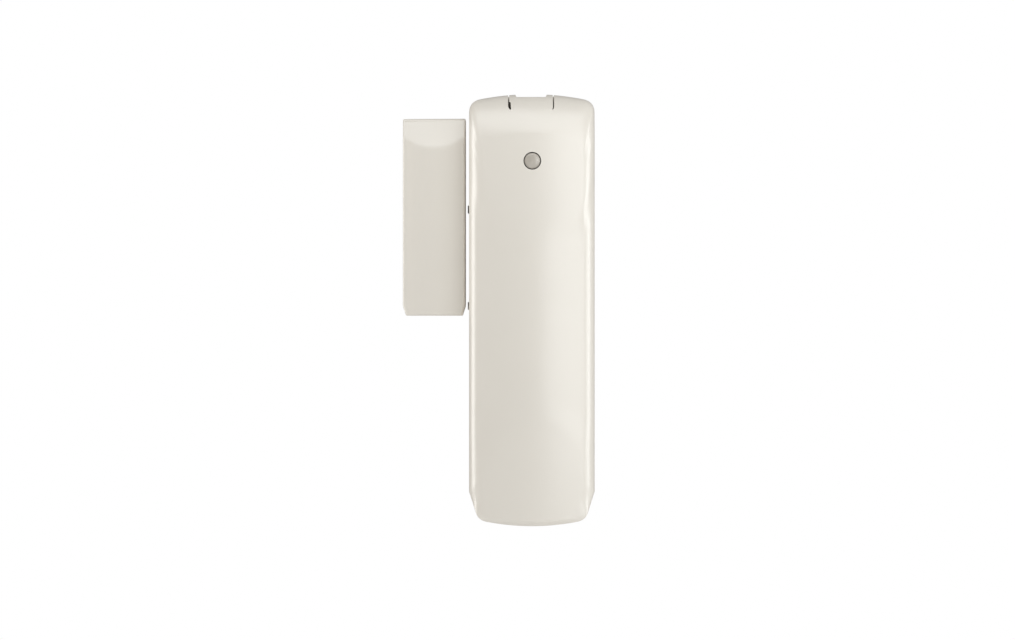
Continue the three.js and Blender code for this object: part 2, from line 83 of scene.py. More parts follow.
# Cover face: its half width, and how far it stops short of the top and of the bottom
FACE_HALF = 13.0
FACE_TOP = 10.2
FACE_LOW = 1.3

# Fall of the face from its middle to its sides, at its ends and at its waist, and to its ends
CROWN_ENDS, CROWN_WAIST = 1.6, 2.3
CROWN_ALONG = 1.0

# Round-ended pads at both ends of the face. The waist is what lies between them.
PAD = {"x": 2.0, "low": -43.0, "high": 35.5, "radius": 16.5, "edge": 7.0, "raised": 0.05}

# Depth where the wall turns over into the face, the turn in radians, and how far from the
# top and the bottom edge that depth starts to change and over what height
SHOULDER = {"side": 19.5, "top": 17.0, "bottom": 23.5, "turn": 1.2}
SHOULDER_REACH = {"top": 12, "top_ease": 10, "bottom": 9, "bottom_ease": 7}

# Details in the cover
LAMP_X, LAMP_Z = 0.1, 37.8
LAMP_HOLE, LAMP_LENS = 4.5, 4.0
LATCH_X, LATCH_HALF, LATCH_ROOT = -0.2, 5.55, 50.9
SLIT, SLIT_WIDE, SLIT_STEP = 0.3, 0.75, 52.9
SCOOP_HALF, SCOOP_DEEP = 4.0, 0.6
HOOK_X, HOOK_HALF = 9.0, 1.5
HOOK_SLOT_HALF = 1.8
RIB_X, RIB_HEIGHTS = 13.9, (-40, -22, 18, 36)

# Rear housing
FLOOR = 2.0
LATCH_NOTCH_HALF = 6.0
LATCH_WINDOW_HALF, LATCH_WINDOW_DEPTH = 4.0, (3, 5.4)
SCREW_SLOT_X, SCREW_SLOT_Z = (-4.5, 4.5), (45, 48.6)
SCREW_HOLE_X, SCREW_HOLE_Z, SCREW_HOLE_RADIUS = 8, -44, 1.9
LEAD_ENTRY_X, LEAD_ENTRY_Z = (-9.5, -4.5), (-45.5, -42.5)
TICK_HEIGHTS = (25.8, 1.0)
POSTS = ((-10, 38), (10, 38), (-10, -4), (11, 4), (-10, -37), (11, -37))

# Magnet unit: how far its face falls at the outer side, and in the facet at its top
CAP_FALL = {"tilt": 0.2, "crown": 0.8, "roll": 2.8, "facet": 3.0}
FACET_HIGH, FACET_BOW = 7.6, 2.9
CAP_ROUND = 0.7
BASE_SLOTS = (4.9, 42.7)
BASE_SLOT_RADIUS, BASE_SLOT_STRAIGHT = 1.9, 1.2
MAGNET_WALL_X = 4.5

# Chip resistors and capacitors: x, z and whether they stand upright
CHIPS = (
    (-4.0, 20.6, False), (-1.6, 20.6, False), (0.6, 20.6, False),
    (2.4, 24.0, True), (2.4, 26.6, True), (2.6, 29.0, False),
    (-7.8, 28.6, True), (-7.8, 31.4, True), (-4.4, 35.6, False),
    (-7.0, 35.4, False), (3.2, 38.6, True), (-3.0, 39.4, False),
    (5.0, 26.2, False), (10.6, 27.0, True), (-6.0, 39.6, True),
    (-8.2, 20.6, True), (-8.8, 15.4, False), (6.4, 39.0, True),
)

# Where leads are soldered to the board
SOLDERED = (
    (-11.2, 14.4), (-11.2, 33.0), (-8.4, -46.4), (-3.2, -46.4), (-8.4, -22.4), (6.2, 33.4),
    (9.8, 33.4), (-9.4, 12.0), (9.9, -33.0), (-5.6, 17.9), (9.4, 17.9),
)


# ---------- mesh tools ----------


def mesh_object(name, points, faces):
    """A mesh from (x, depth, z) points in millimetres."""
    mesh = bpy.data.meshes.new(name)
    mesh.from_pydata([(x * MM, -depth * MM, z * MM) for x, depth, z in points], [], faces)
    mesh.validate()
    obj = bpy.data.objects.new(name, mesh)
    bpy.context.collection.objects.link(obj)
    shade(obj)
    return obj


def shade(obj, angle=SMOOTH_ANGLE):
    """Recalculates normals outward and marks edges sharper than the angle."""
    edit = bmesh.new()
    edit.from_mesh(obj.data)
    bmesh.ops.remove_doubles(edit, verts=edit.verts, dist=1e-7)
    bmesh.ops.recalc_face_normals(edit, faces=edit.faces)
    for face in edit.faces:
        face.smooth = True
    limit = math.radians(angle)
    for edge in edit.edges:
        edge.smooth = len(edge.link_faces) == 2 and edge.calc_face_angle(0) < limit
    edit.to_mesh(obj.data)
    edit.free()


def band(first, second):
    """Quads between two rings of vertex numbers."""
    count = len(first)
    return [
        (first[i], first[(i + 1) % count], second[(i + 1) % count], second[i])
        for i in range(count)
    ]


def joined_rings(rings):
    """Points of the rings, the vertex numbers of each ring, and the quads between them."""
    count = len(rings[0])
    points = [point for ring in rings for point in ring]
    numbers = [list(range(k * count, (k + 1) * count)) for k in range(len(rings))]
    faces = [quad for a, b in zip(numbers, numbers[1:]) for quad in band(a, b)]
    return points, numbers, faces


def loft(name, rings, caps=True):
    """Joins rings of points in order, closed at both ends."""
    points, numbers, faces = joined_rings(rings)
    if caps:
        faces += [tuple(reversed(numbers[0])), tuple(numbers[-1])]
    return mesh_object(name, points, faces)


def carve(obj, tools, operation="DIFFERENCE"):
    """Applies booleans with throw-away tool objects."""
    for tool in tools:
        modifier = obj.modifiers.new("carve", "BOOLEAN")
        modifier.operation = operation
        modifier.solver = "EXACT"
        modifier.object = tool
        bake(obj)
        bpy.data.objects.remove(tool)
    shade(obj)
    return obj


def bake(obj):
    """Replaces the object's mesh by its evaluated mesh and drops its modifiers."""
    view = bpy.context.evaluated_depsgraph_get()
    mesh = bpy.data.meshes.new_from_object(obj.evaluated_get(view))
    obj.modifiers.clear()
    obj.data = mesh


def soften(obj, width, segments=2):
    """Rounds sharp edges."""
    modifier = obj.modifiers.new("soften", "BEVEL")
    modifier.width = width * MM
    modifier.segments = segments
    modifier.limit_method = "ANGLE"
    modifier.angle_limit = math.radians(SHARP_ANGLE)
    modifier.harden_normals = True
    return obj


def middle(span):
    return (span[0] + span[1]) / 2


def around(centre, half):
    return (centre - half, centre + half)


def block(name, x, depth, z):
    """A box between limits, used as a tool or softened into a piece."""
    points = [(px, pd, pz) for px in x for pd in depth for pz in z]
    faces = [(0, 1, 3, 2), (4, 6, 7, 5), (0, 4, 5, 1), (2, 3, 7, 6), (0, 2, 6, 4), (1, 5, 7, 3)]
    return mesh_object(name, points, faces)


def round_steps(radius, count):
    """Points of a circle about the origin, as pairs."""
    angles = [2 * math.pi * i / count for i in range(count)]
    return [(radius * math.cos(angle), radius * math.sin(angle)) for angle in angles]


def circle(x, z, radius, depth, count=64):
    """A circle that faces off the wall."""
    return [(x + dx, depth, z + dz) for dx, dz in round_steps(radius, count)]


def turned_on_depth(name, x, z, profile, count=64):
    """A solid of revolution about a line off the wall. The profile is (radius, depth)."""
    rings = [circle(x, z, radius, depth, count) for radius, depth in profile]
    return loft(name, rings)


def turned_on_height(name, x, depth, profile, count=72):
    """A solid of revolution about an upright line. The profile is (radius, z)."""
    rings = [
        [(x + dx, depth + dd, z) for dx, dd in round_steps(radius, count)]
        for radius, z in profile
    ]
    return loft(name, rings)


# ---------- outlines ----------


def straight(a, b, steps):
    """Points from a toward b, without b."""
    return [tuple(p + (q - p) * i / steps for p, q in zip(a, b)) for i in range(steps)]


def bend(a, control, b, steps):
    """Points from a toward b along a curve pulled to a control point, without b."""
    def at(t):
        return tuple(
            (1 - t) ** 2 * p + 2 * t * (1 - t) * c + t * t * q for p, c, q in zip(a, control, b)
        )

    return [at(i / steps) for i in range(steps)]


def right_side(half, low, high):
    """Right half of the sensor's outline, from bottom centre to top centre."""
    low_edge = (half - 4.5, low + 1.11)
    low_corner = (half - 1.8, low + 3.3)
    taper_top = (half, low + 8.7)
    side_top = (half, high - 4.7)
    high_edge = (half - 3, high - 1.26)
    return [
        *bend((0, low), (low_edge[0] / 2, low), low_edge, 12),
        *bend(low_edge, (half - 2.4, low + 1.52), low_corner, 8),
        *straight(low_corner, taper_top, 6),
        *straight(taper_top, side_top, 90),
        *bend(side_top, (half, high - 1.84), high_edge, 12),
        *bend(high_edge, (high_edge[0] / 2, high), (0, high), 14),
        (0, high),
    ]


def mirrored(right):
    """The whole outline from its right half."""
    return right + [(-x, z) for x, z in reversed(right[1:-1])]


def inset_right(inset):
    """Right half of the sensor's outline, drawn in all round."""
    return right_side(HALF - inset, LOW + inset, HIGH - inset)


# ---------- surface of the cover ----------


def smooth(t):
    """Eases from 0 to 1."""
    t = min(max(t, 0), 1)
    return t * t * (3 - 2 * t)


def waist(x, z):
    """1 between the two round-ended pads of the face, 0 on them, with a soft edge."""
    beyond_low = math.hypot(x - PAD["x"], max(z - PAD["low"], 0)) - PAD["radius"]
    beyond_high = math.hypot(x - PAD["x"], max(PAD["high"] - z, 0)) - PAD["radius"]
    if z < PAD["low"] or z > PAD["high"]:
        return 0.0
    return smooth(min(beyond_low, beyond_high) / PAD["edge"] + 0.5)


def face_depth(x, z):
    """Front of the cover: crowned across, a little more at the waist, and falling at the ends."""
    share = waist(x, z)
    across = CROWN_ENDS + (CROWN_WAIST - CROWN_ENDS) * share
    return (
        DEPTH
        - PAD["raised"] * share
        - across * (x / FACE_HALF) ** 2
        - CROWN_ALONG * (z / HIGH) ** 4
    )


def shoulder_depth(z):
    """Where the cover's wall starts to turn over into the face."""
    reach = SHOULDER_REACH
    toward_top = smooth((z - HIGH + reach["top"]) / reach["top_ease"])
    toward_bottom = smooth((LOW + reach["bottom"] - z) / reach["bottom_ease"])
    return (
        SHOULDER["side"]
        + (SHOULDER["top"] - SHOULDER["side"]) * toward_top
        + (SHOULDER["bottom"] - SHOULDER["side"]) * toward_bottom
    )


def cover_surface(inset, back, start, turns=14):
    """Rings from the rim over the shoulder, and the right half of the face's edge.

    The surface lies inset from the outline and back from the face.
    """
    outer = mirrored(inset_right(inset))
    edge_right = right_side(FACE_HALF - inset, LOW + FACE_LOW + inset, HIGH - FACE_TOP - inset / 2)
    edge = mirrored(edge_right)
    turn = SHOULDER["turn"]
    rings = [[(x, start, z) for x, z in outer]]
    for k in range(turns + 1):
        angle = turn * k / turns
        inward = (1 - math.cos(angle)) / (1 - math.cos(turn))
        forward = math.sin(angle) / math.sin(turn)
        ring = []
        for (x, z), (ex, ez) in zip(outer, edge):
            begin = shoulder_depth(z) - back / 2
            end = face_depth(ex, ez) - back
            ring.append((x + (ex - x) * inward, begin + (end - begin) * forward, z + (ez - z) * inward))
        rings.append(ring)
    return rings, edge_right


def patch(points, ring, right, depth_at, back, columns=26):
    """Fills a face with rows from the right edge to the left edge. Adds points, returns faces."""
    count = len(ring)
    rows = []
    for i, (x, z) in enumerate(right):
        if i in (0, len(right) - 1):
            rows.append([ring[i]] * (columns + 1))
            continue
        row = [ring[i]]
        for k in range(1, columns):
            px = x * (1 - 2 * k / columns)
            row.append(len(points))
            points.append((px, depth_at(px, z) - back, z))
        row.append(ring[count - i])
        rows.append(row)
    faces = []
    for lower, upper in zip(rows, rows[1:]):
        for k in range(columns):
            corners = [lower[k], upper[k], upper[k + 1], lower[k + 1]]
            face = [c for n, c in enumerate(corners) if c not in corners[:n]]
            if len(face) > 2:
                faces.append(tuple(face))
    return faces


def cover_shell(name):
    """The closed shell of the cover before anything is cut in it."""
    outer, outer_right = cover_surface(0, 0, SPLIT + GAP)
    inner, inner_right = cover_surface(WALL, FRONT, SPLIT + GAP)
    lip = 0.2
    chamfer = [(x, SPLIT + GAP, z) for x, z in mirrored(inset_right(lip))]
    outer[0] = [(x, depth + lip, z) for x, depth, z in outer[0]]
    points, numbers, faces = joined_rings(list(reversed(outer)) + [chamfer] + inner)
    faces += patch(points, numbers[0], outer_right, face_depth, 0)
    faces += patch(points, numbers[-1], inner_right, face_depth, FRONT)
    return mesh_object(name, points, faces)


def scoop_tool():
    """Finger groove over the top edge, with sloping sides."""
    floor = HIGH - 0.2 - SCOOP_DEEP
    section = [
        (LATCH_X - SCOOP_HALF - 0.3, HIGH + 1),
        (LATCH_X - SCOOP_HALF - 0.05, HIGH - 0.1),
        (LATCH_X - SCOOP_HALF + 0.3, floor),
        (LATCH_X + SCOOP_HALF - 0.3, floor),
        (LATCH_X + SCOOP_HALF + 0.05, HIGH - 0.1),
        (LATCH_X + SCOOP_HALF + 0.3, HIGH + 1),
    ]
    return loft("scoop", [[(x, depth, z) for x, z in section] for depth in (-1, 20)])


def latch_zone():
    """What the tongue is cut out of: narrower on the left below the step in its slit."""
    left, right = LATCH_X - LATCH_HALF, LATCH_X + LATCH_HALF
    narrow = left + SLIT_WIDE - SLIT
    outline = [
        (left, 60),
        (left, SLIT_STEP),
        (narrow - 0.1, SLIT_STEP - 0.15),
        (narrow, LATCH_ROOT),
        (right - 0.15, LATCH_ROOT),
        (right, LATCH_ROOT + 0.6),
        (right, 60),
    ]
    return loft("zone", [[(x, depth, z) for x, z in outline] for depth in (SPLIT + 0.6, 40)])


def latch_slot():
    """Gap in the cover round the tongue, closing in toward the root on both sides."""
    left, right = LATCH_X - LATCH_HALF - SLIT, LATCH_X + LATCH_HALF + SLIT
    outline = [
        (left, 60),
        (left, LATCH_ROOT + 0.75),
        (left + 0.4, LATCH_ROOT),
        (right - 0.25, LATCH_ROOT),
        (right, LATCH_ROOT + 0.6),
        (right, 60),
    ]
    return loft("slot", [[(x, depth, z) for x, z in outline] for depth in (0, 40)])


def make_cover():
    """Cover with its lens hole, the gap round the tongue and the finger groove."""
    cover = cover_shell("cover_shell")
    hole = turned_on_depth("hole", LAMP_X, LAMP_Z, [(LAMP_HOLE / 2, 20), (LAMP_HOLE / 2, 30)])
    carve(cover, [latch_slot(), hole, scoop_tool()])
    return cover


def make_tongue():
    """The part of the cover's shell between the slits, as its own piece."""
    tongue = cover_shell("tongue_shell")
    carve(tongue, [latch_zone()], "INTERSECT")
    carve(tongue, [scoop_tool()])
    return tongue


# ---------- rear housing ----------


def flat_ring(right, depth):
    return [(x, depth, z) for x, z in mirrored(right)]


def make_tray():
    """Open tray with a lip inside its rim, from (inset, depth) steps over the outside and back in."""
    steps = [
        (0.45, 0.0),
        (0.12, 0.12),
        (0.0, 0.45),
        (0.0, SPLIT - 0.2),
        (0.2, SPLIT),
        (1.9, SPLIT),
        (1.9, 8.4),
        (2.1, 8.6),
        (2.7, 8.6),
        (2.9, 8.4),
        (2.9, FLOOR + 0.5),
        (3.05, FLOOR + 0.15),
        (3.4, FLOOR),
    ]
    tray = loft("tray_shell", [flat_ring(inset_right(inset), depth) for inset, depth in steps])
    through = (-1, FLOOR + 1)
    tools = [
        scoop_tool(),
        block("notch", (-LATCH_NOTCH_HALF, LATCH_NOTCH_HALF), (SPLIT, 10), (HIGH - 4, HIGH)),
        block("window", (-LATCH_WINDOW_HALF, LATCH_WINDOW_HALF), LATCH_WINDOW_DEPTH, (HIGH - 4, HIGH + 3)),
        block("slot", SCREW_SLOT_X, through, SCREW_SLOT_Z),
        turned_on_depth("hole", SCREW_HOLE_X, SCREW_HOLE_Z, [(SCREW_HOLE_RADIUS, d) for d in through]),
        block("entry", LEAD_ENTRY_X, through, LEAD_ENTRY_Z),
        *[
            block("hook_slot", around(side * HOOK_X, HOOK_SLOT_HALF), (3.4, 10), (LOW + 1.6, LOW + 5.2))
            for side in (-1, 1)
        ],
    ]
    return carve(tray, tools)


# ---------- magnet unit ----------


def cap_outline(inset):
    """Square top corners, cut bottom corners; right half from bottom centre to top centre."""
    half = MAGNET_HALF - inset
    low, high = CAP_Z[0] + inset, CAP_Z[1] - inset
    return [
        *straight((0, low), (half - 1.1, low), 8),
        *bend((half - 1.1, low), (half - 0.75, low), (half - 0.65, low + 0.5), 4),
        *straight((half - 0.65, low + 0.5), (half - 0.1, low + 2.2), 4),
        *bend((half - 0.1, low + 2.2), (half, low + 2.6), (half, low + 3), 4),
        *straight((half, low + 3), (half, high - 0.4), 50),
        *bend((half, high - 0.4), (half, high), (half - 0.4, high), 5),
        *straight((half - 0.4, high), (0, high), 10),
        (0, high),
    ]


def cap_depth(x, z):
    """Face that rolls away toward the outer side, with a sloping facet at the top."""
    across = x / MAGNET_HALF
    outward = (1 - across) / 2
    crease = CAP_Z[1] - FACET_HIGH + FACET_BOW * across * across
    slope = max(0.0, z - crease) / FACET_HIGH
    fall = CAP_FALL["tilt"] * outward + CAP_FALL["crown"] * outward**2 + CAP_FALL["roll"] * outward**4
    return CAP_DEPTH[1] - fall - CAP_FALL["facet"] * slope


def cap_surface(inset, back, start):
    """Rings from the cap's rim over its rounded front edge, and the right half of its face."""
    right = cap_outline(inset)
    outline = mirrored(right)
    rings = [[(x, start, z) for x, z in outline]]
    edge_right = cap_outline(inset + CAP_ROUND)
    edge = mirrored(edge_right)
    steps = 6
    for k in range(steps + 1):
        angle = math.pi / 2 * k / steps
        ring = []
        for (x, z), (ex, ez) in zip(outline, edge):
            end = cap_depth(ex, ez) - back
            begin = end - CAP_ROUND
            ring.append((
                x + (ex - x) * (1 - math.cos(angle)),
                begin + (end - begin) * math.sin(angle),
                z + (ez - z) * (1 - math.cos(angle)),
            ))
        rings.append(ring)
    return rings, edge_right


def cap_shell(name):
    """The open-backed cap of the magnet unit."""
    outer, outer_right = cap_surface(0, 0, CAP_DEPTH[0])
    inner, inner_right = cap_surface(WALL, WALL, CAP_DEPTH[0])
    points, numbers, faces = joined_rings(list(reversed(outer)) + inner)
    faces += patch(points, numbers[0], outer_right, cap_depth, 0, 18)
    faces += patch(points, numbers[-1], inner_right, cap_depth, WALL, 18)
    return mesh_object(name, [(x + MAGNET_MID, d, z) for x, d, z in points], faces)


def make_base():
    """Base plate inside the cap's rim, with two upright screw slots."""
    inset = WALL + GAP
    steps = [(0.3, 0.0), (0.0, 0.3), (0.0, 1.6), (0.2, 1.8)]
    rings = [
        [(x + MAGNET_MID, depth, z) for x, z in mirrored(cap_outline(inset + cut))]
        for cut, depth in steps
    ]
    tools = [loft("slot", [slot_ring(MAGNET_MID, z, depth) for depth in (-1, 3)]) for z in BASE_SLOTS]
    return carve(loft("base_plate", rings), tools)


def slot_ring(x, z, depth):
    """Outline of an upright slot with round ends."""
    half = BASE_SLOT_STRAIGHT / 2
    return [
        (x + dx, depth, z + dz + (half if dz >= 0 else -half))
        for dx, dz in round_steps(BASE_SLOT_RADIUS, 32)
    ]


# ---------- light pipe ----------


def make_lens():
    """Lens with a flange behind the cover and a stem that reaches back to the indicator."""
    back = DEPTH - FRONT - GAP
    radius = LAMP_LENS / 2
    profile = [
        (1.3, 10.8),
        (1.5, 11.0),
        (1.5, back - 1.2),
        (3.1, back - 1.2),
        (3.2, back - 1.1),
        (3.2, back - 0.1),
        (3.1, back),
        (radius, back),
        (radius, DEPTH - 0.55),
        (radius - 0.12, DEPTH - 0.38),
        (radius - 0.4, DEPTH - 0.25),
        (radius - 0.9, DEPTH - 0.16),
        (0.3, DEPTH - 0.12),
    ]
    return turned_on_depth("lens", LAMP_X, LAMP_Z, profile)


# ---------- materials ----------


def material(name):
    """A new material with its nodes, its links and its main shader."""
    made = bpy.data.materials.new(name)
    made.use_nodes = True
    nodes = made.node_tree.nodes
    return made, nodes, made.node_tree.links, nodes["Principled BSDF"]


def noise(nodes, links, scale, detail):
    """Noise laid out in object space, so that it stays with the piece."""
    place = nodes.new("ShaderNodeTexCoord")
    texture = nodes.new("ShaderNodeTexNoise")
    texture.inputs["Scale"].default_value = scale
    texture.inputs["Detail"].default_value = detail
    links.new(place.outputs["Object"], texture.inputs["Vector"])
    return texture


def spread(nodes, links, source, low, high):
    """Maps a 0 to 1 value to a range."""
    change = nodes.new("ShaderNodeMapRange")
    change.inputs["To Min"].default_value = low
    change.inputs["To Max"].default_value = high
    links.new(source, change.inputs["Value"])
    return change.outputs["Result"]


def two_colours(nodes, links, factor, first, second):
    """Mixes two colours by a 0 to 1 value."""
    mix = nodes.new("ShaderNodeMix")
    mix.data_type = "RGBA"
    mix.inputs["A"].default_value = (*first, 1)
    mix.inputs["B"].default_value = (*second, 1)
    links.new(factor, mix.inputs["Factor"])
    return mix.outputs["Result"]


def bump(nodes, links, height, shader, distance, strength):
    """Fine relief from a height value."""
    made = nodes.new("ShaderNodeBump")
    made.inputs["Distance"].default_value = distance
    made.inputs["Strength"].default_value = strength
    links.new(height, made.inputs["Height"])
    links.new(made.outputs["Normal"], shader.inputs["Normal"])


def moulded_plastic(name, colour, variation, roughness, grain):
    """Injection-moulded plastic: faint mottling, uneven gloss and a fine surface grain."""
    made, nodes, links, shader = material(name)
    cloud = noise(nodes, links, 60, 4)
    darker = tuple(c * (1 - variation) for c in colour)
    links.new(two_colours(nodes, links, cloud.outputs["Fac"], colour, darker), shader.inputs["Base Color"])
    wear = noise(nodes, links, 220, 5)
    gloss = spread(nodes, links, wear.outputs["Fac"], roughness - 0.04, roughness + 0.04)
    links.new(gloss, shader.inputs["Roughness"])
    fine = noise(nodes, links, 2600, 2)
    bump(nodes, links, fine.outputs["Fac"], shader, grain, 0.35)
    shader.inputs["Specular IOR Level"].default_value = 0.85
    return made


def pale_floor(name):
    """Near-white matt floor, lifted by a little light of its own."""
    made = moulded_plastic(name, (0.9, 0.9, 0.9), 0.02, 0.6, 0.00001)
    shader = made.node_tree.nodes["Principled BSDF"]
    shader.inputs["Emission Color"].default_value = (1, 1, 0.99, 1)
    shader.inputs["Emission Strength"].default_value = 0.22
    return made


def plated_metal(name, colour, roughness):
    """Plated or drawn metal with fine brushing and a few duller patches."""
    made, nodes, links, shader = material(name)
    cloud = noise(nodes, links, 400, 3)
    darker = tuple(c * 0.82 for c in colour)
    links.new(two_colours(nodes, links, cloud.outputs["Fac"], colour, darker), shader.inputs["Base Color"])
    streak = noise(nodes, links, 1500, 4)
    gloss = spread(nodes, links, streak.outputs["Fac"], roughness - 0.06, roughness + 0.06)
    links.new(gloss, shader.inputs["Roughness"])
    bump(nodes, links, streak.outputs["Fac"], shader, 0.00001, 0.3)
    shader.inputs["Metallic"].default_value = 1
    return made


def board_mask(name):
    """Green solder mask over copper tracks: a faint raised maze of lighter green."""
    made, nodes, links, shader = material(name)
    place = nodes.new("ShaderNodeTexCoord")
    tracks = nodes.new("ShaderNodeTexBrick")
    for socket, value in (
        ("Scale", 260),
        ("Mortar Size", 0.09),
        ("Mortar Smooth", 0.2),
        ("Row Height", 0.55),
        ("Brick Width", 1.7),
        ("Color1", (0, 0, 0, 1)),
        ("Color2", (0, 0, 0, 1)),
        ("Mortar", (1, 1, 1, 1)),
    ):
        tracks.inputs[socket].default_value = value
    turn = nodes.new("ShaderNodeMapping")
    turn.inputs["Rotation"].default_value = (math.pi / 2, 0, 0)
    links.new(place.outputs["Object"], turn.inputs["Vector"])
    links.new(turn.outputs["Vector"], tracks.inputs["Vector"])
    mask, track = (0.012, 0.105, 0.035), (0.03, 0.22, 0.07)
    links.new(two_colours(nodes, links, tracks.outputs["Color"], mask, track), shader.inputs["Base Color"])
    shader.inputs["Roughness"].default_value = 0.32
    shader.inputs["Coat Weight"].default_value = 0.4
    bump(nodes, links, tracks.outputs["Color"], shader, 0.00004, 0.5)
    return made


def clear_glass(name):
    """Slightly green tube glass, thin enough to see the blades through."""
    made, nodes, links, shader = material(name)
    tint = noise(nodes, links, 300, 2)
    pale, deep = (0.86, 0.97, 0.9), (0.8, 0.94, 0.86)
    links.new(two_colours(nodes, links, tint.outputs["Fac"], pale, deep), shader.inputs["Base Color"])
    shader.inputs["Roughness"].default_value = 0.03
    shader.inputs["IOR"].default_value = 1.5
    shader.inputs["Transmission Weight"].default_value = 0.92
    return made


def light_guide(name):
    """Smoky, slightly milky moulded lens."""
    made, nodes, links, shader = material(name)
    cloud = noise(nodes, links, 500, 3)
    pale, deep = (0.70, 0.65, 0.58), (0.50, 0.45, 0.38)
    links.new(two_colours(nodes, links, cloud.outputs["Fac"], pale, deep), shader.inputs["Base Color"])
    shader.inputs["Roughness"].default_value = 0.12
    shader.inputs["Transmission Weight"].default_value = 0.25
    shader.inputs["IOR"].default_value = 1.49
    bump(nodes, links, cloud.outputs["Fac"], shader, 0.00002, 0.3)
    return made


def printed_sleeve(name, low, high):
    """Cell sleeve: coloured body with a pale band near each end, in object space."""
    made, nodes, links, shader = material(name)
    place = nodes.new("ShaderNodeTexCoord")
    split = nodes.new("ShaderNodeSeparateXYZ")
    links.new(place.outputs["Object"], split.inputs["Vector"])
    ramp = nodes.new("ShaderNodeValToRGB")
    height = nodes.new("ShaderNodeMapRange")
    height.inputs["From Min"].default_value = low * MM
    height.inputs["From Max"].default_value = high * MM
    links.new(split.outputs["Z"], height.inputs["Value"])
    links.new(height.outputs["Result"], ramp.inputs["Fac"])
    ramp.color_ramp.interpolation = "CONSTANT"
    bare, pale, blue = (0.55, 0.55, 0.56), (0.62, 0.64, 0.66), (0.05, 0.16, 0.34)
    shoulder = 0.955
    bands = ((0.09, pale), (0.12, blue), (0.72, pale), (shoulder, blue))
    elements = ramp.color_ramp.elements
    elements[0].color = (*bare, 1)
    elements[1].color = (*pale, 1)
    for position, colour in bands:
        elements.new(position).color = (*colour, 1)
    links.new(ramp.outputs["Color"], shader.inputs["Base Color"])
    metal = nodes.new("ShaderNodeMath")
    metal.operation = "GREATER_THAN"
    metal.inputs[1].default_value = shoulder
    links.new(height.outputs["Result"], metal.inputs[0])
    links.new(metal.outputs["Value"], shader.inputs["Metallic"])
    gloss = noise(nodes, links, 300, 3)
    links.new(spread(nodes, links, gloss.outputs["Fac"], 0.22, 0.34), shader.inputs["Roughness"])
    bump(nodes, links, gloss.outputs["Fac"], shader, 0.00003, 0.3)
    return made


# ---------- inside the sensor ----------


def rounded_box(name, x, depth, z, radius, segments=3):
    """A box between limits with rounded edges."""
    return finish_bevel(block(name, x, depth, z), radius, segments)


def finish_bevel(obj, radius, segments=3):
    """Rounds the edges for good and shades the result."""
    soften(obj, radius, segments)
    bake(obj)
    shade(obj)
    return obj


def tube(name, points, radius):
    """A round wire along a smooth path, as a mesh."""
    curve = bpy.data.curves.new(name, "CURVE")
    curve.dimensions = "3D"
    curve.bevel_depth = radius * MM
    curve.bevel_resolution = 4
    curve.use_fill_caps = True
    spline = curve.splines.new("NURBS")
    spline.points.add(len(points) - 1)
    for point, (x, depth, z) in zip(spline.points, points):
        point.co = (x * MM, -depth * MM, z * MM, 1)
    spline.use_endpoint_u = True
    spline.order_u = 4
    spline.resolution_u = 4
    obj = bpy.data.objects.new(name, curve)
    bpy.context.collection.objects.link(obj)
    bpy.context.view_layer.objects.active = obj
    mesh = bpy.data.meshes.new_from_object(obj.evaluated_get(bpy.context.evaluated_depsgraph_get()))
    bpy.data.objects.remove(obj)
    made = bpy.data.objects.new(name, mesh)
    bpy.context.collection.objects.link(made)
    shade(made, 50)
    return made


def merged(name, parts):
    """One object from the meshes of several, which are removed. Their materials are not carried over."""
    points, faces = [], []
    for part in parts:
        start = len(points)
        points += [(v.co.x / MM, -v.co.y / MM, v.co.z / MM) for v in part.data.vertices]
        faces += [tuple(start + v for v in face.vertices) for face in part.data.polygons]
        bpy.data.objects.remove(part)
    return mesh_object(name, points, faces)


def add(obj, body, look, *nodes):
    """Gives a piece its body and its material, and hides the CAD nodes it stands for."""
    made, slot_name = look
    obj.data.materials.clear()
    obj.data.materials.append(made)
    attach(obj, body)
    if nodes:
        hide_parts(*nodes)
    return obj


def make_cell():
    """AA-size cell: recessed foot, crimped shoulder and a button at the top."""
    x, depth, z = box_mm("battery_cell")
    radius = (x[1] - x[0]) / 2
    low, high = z
    profile = [
        (1.0, low + 0.25),
        (radius - 2.2, low + 0.25),
        (radius - 1.9, low),
        (radius - 0.9, low),
        (radius - 0.35, low + 0.2),
        (radius, low + 0.8),
        (radius, high - 2.3),
        (radius - 0.3, high - 1.75),
        (radius - 1.1, high - 1.5),
        (2.95, high - 1.45),
        (2.75, high - 1.25),
        (2.75, high - 0.2),
        (2.55, high),
        (0.4, high),
    ]
    return turned_on_height("cell", middle(x), middle(depth), profile)


def spiral(x, depth, low, high, turns, first_radius, last_radius, per_turn=16):
    """Path of a coil about an upright line, which may narrow as it rises."""
    count = turns * per_turn
    path = []
    for i in range(count + 1):
        share = i / count
        radius = first_radius + (last_radius - first_radius) * share
        angle = 2 * math.pi * i / per_turn
        path.append((
            x + radius * math.cos(angle),
            depth + radius * math.sin(angle),
            low + (high - low) * share,
        ))
    return path


def make_contact_spring():
    """Conical spring that presses on the foot of the cell."""
    x, depth, z = box_mm("contact_spring")
    wire = 0.16
    path = spiral(middle(x), middle(depth), z[0] + 0.2, z[1] - 0.2, 4, 3.7, 1.2)
    return tube("spring_wire", path, wire)


def make_antenna():
    """Helical antenna with a short foot soldered to the board."""
    x, depth, z = box_mm("antenna_coil")
    radius, wire = 2.0, 0.35
    centre_x, centre_depth = x[1] - radius - wire, depth[1] - radius - wire
    coil = spiral(centre_x, centre_depth, z[0] + 1, z[1] - 0.4, 9, radius, radius)
    foot = [
        (centre_x + radius, depth[0] + 0.1, z[0] + 0.5),
        (centre_x + radius, centre_depth - 1, z[0] + 0.6),
    ]
    return tube("antenna_wire", foot + coil, wire)


